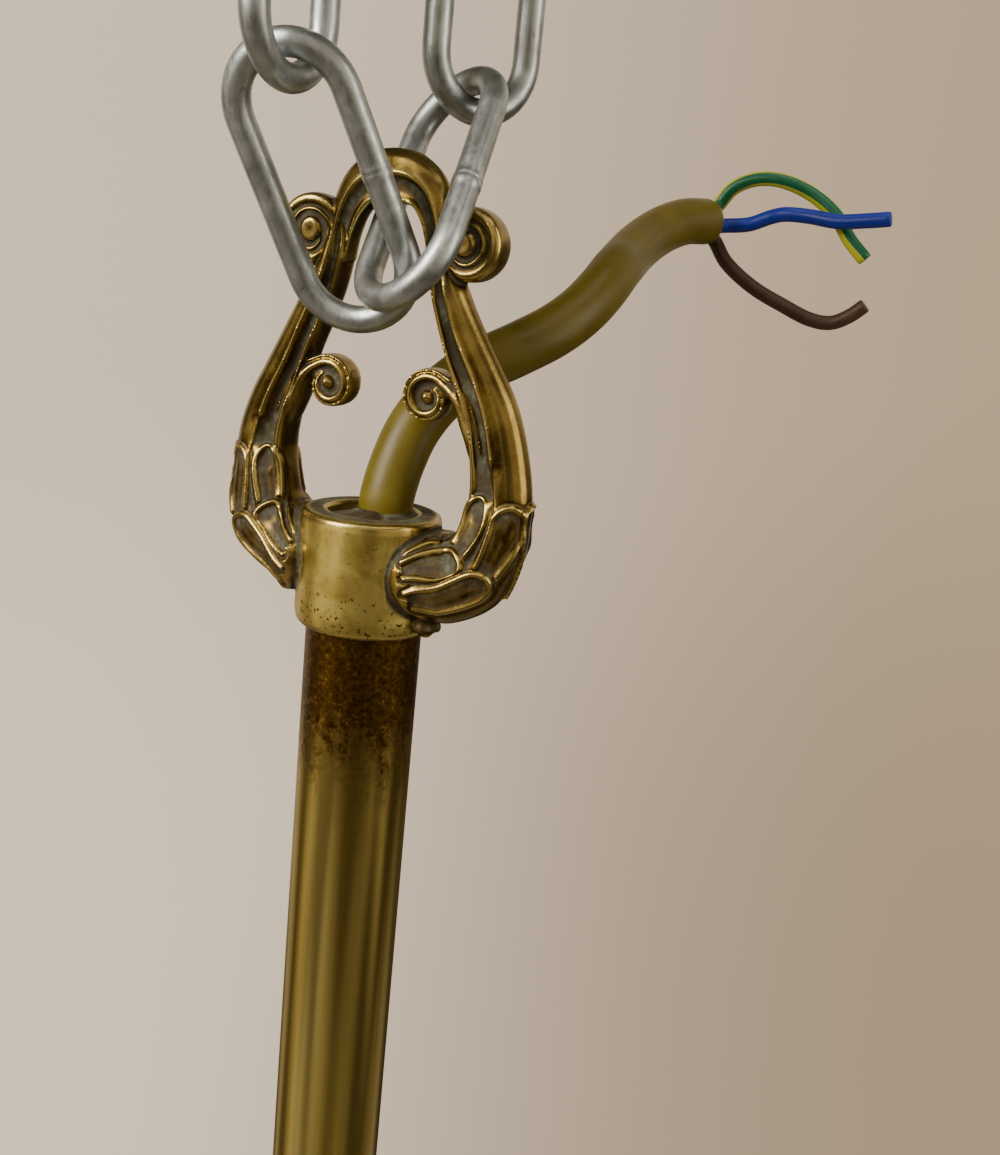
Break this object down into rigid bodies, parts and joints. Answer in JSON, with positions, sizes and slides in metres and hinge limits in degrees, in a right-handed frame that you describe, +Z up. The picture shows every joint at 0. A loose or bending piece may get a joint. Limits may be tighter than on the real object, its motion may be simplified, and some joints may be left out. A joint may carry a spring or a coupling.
{
  "type": "chandelier",
  "caption": "Brass chandelier: cast lyre hanger on interlocked chain links, tube stem, turned body and scrolled arms with candle sleeves.",
  "frame": {"origin": "on the ceiling plane, at the top face of the ceiling plate, above the axis of the stem", "axes": "+Z up; the lyre lies in the XZ plane and its front looks along -Y"},
  "size_m": [0.4276, 0.4106, 0.5437],
  "materials": {
    "cast_brass": "aged, dark in the grooves and worn bright on the ridges",
    "turned_brass": "aged, softly polished",
    "lacquered_brass": "old lacquer, patchy dark brown at the top",
    "zinc": "satin zinc plate",
    "olive_sheath": "satin",
    "blue_sheath": "satin",
    "brown_sheath": "satin",
    "earth_sheath": "satin, green with a yellow stripe",
    "ivory_sleeve": "matt ivory",
    "black_plastic": "matt"
  },
  "bodies": {
    "ceiling": {"ceiling_plate": "zinc", "hanger_staple_front": "zinc", "hanger_staple_back": "zinc", "staple_nut_1": "zinc", "staple_nut_2": "zinc", "staple_nut_3": "zinc", "staple_nut_4": "zinc"},
    "front_link": {"link_front_upper": "zinc"},
    "chandelier": {"link_front_lower": "zinc", "link_back_lower": "zinc", "lyre_hanger": "cast_brass", "cable_free": "olive_sheath", "core_earth": "earth_sheath", "core_blue": "blue_sheath", "core_brown": "brown_sheath", "stem_tube": "lacquered_brass", "cable_in_stem": "olive_sheath", "terminal_block": "black_plastic", "stem_vase": "turned_brass", "tie_tube": "zinc", "arm_hub": "turned_brass", "hub_nut": "zinc", "bowl": "turned_brass", "finial": "turned_brass", "drip_pan_1": "turned_brass", "candle_cup_1": "turned_brass", "lampholder_1": "black_plastic", "candle_sleeve_1": "ivory_sleeve", "arm_1": "cast_brass", "drip_pan_2": "turned_brass", "candle_cup_2": "turned_brass", "lampholder_2": "black_plastic", "candle_sleeve_2": "ivory_sleeve", "arm_2": "cast_brass", "drip_pan_3": "turned_brass", "candle_cup_3": "turned_brass", "lampholder_3": "black_plastic", "candle_sleeve_3": "ivory_sleeve", "arm_3": "cast_brass", "drip_pan_4": "turned_brass", "candle_cup_4": "turned_brass", "lampholder_4": "black_plastic", "candle_sleeve_4": "ivory_sleeve", "arm_4": "cast_brass", "drip_pan_5": "turned_brass", "candle_cup_5": "turned_brass", "lampholder_5": "black_plastic", "candle_sleeve_5": "ivory_sleeve", "arm_5": "cast_brass"},
    "back_link": {"link_back_upper": "zinc"}
  },
  "joints": [
    {"name": "strand_swing", "type": "hinge", "parent": "ceiling", "child": "front_link", "pos_m": [-0.00647, -0.01325, -0.021], "axis": [0.4388, 0.8986, 0], "range_deg": [-12, 12]},
    {"name": "chandelier_swing", "type": "hinge", "parent": "front_link", "child": "chandelier", "pos_m": [-0.00647, -0.01325, -0.043], "axis": [0.4388, 0.8986, 0], "range_deg": [-15, 15]},
    {"name": "back_link_swing", "type": "hinge", "parent": "chandelier", "child": "back_link", "pos_m": [0.00467, 0.00957, -0.043], "axis": [0.4388, 0.8986, 0], "range_deg": [-15, 15]}
  ],
  "couplings": [
    {"joint": "back_link_swing", "follows": "chandelier_swing", "ratio": -1}
  ]
}
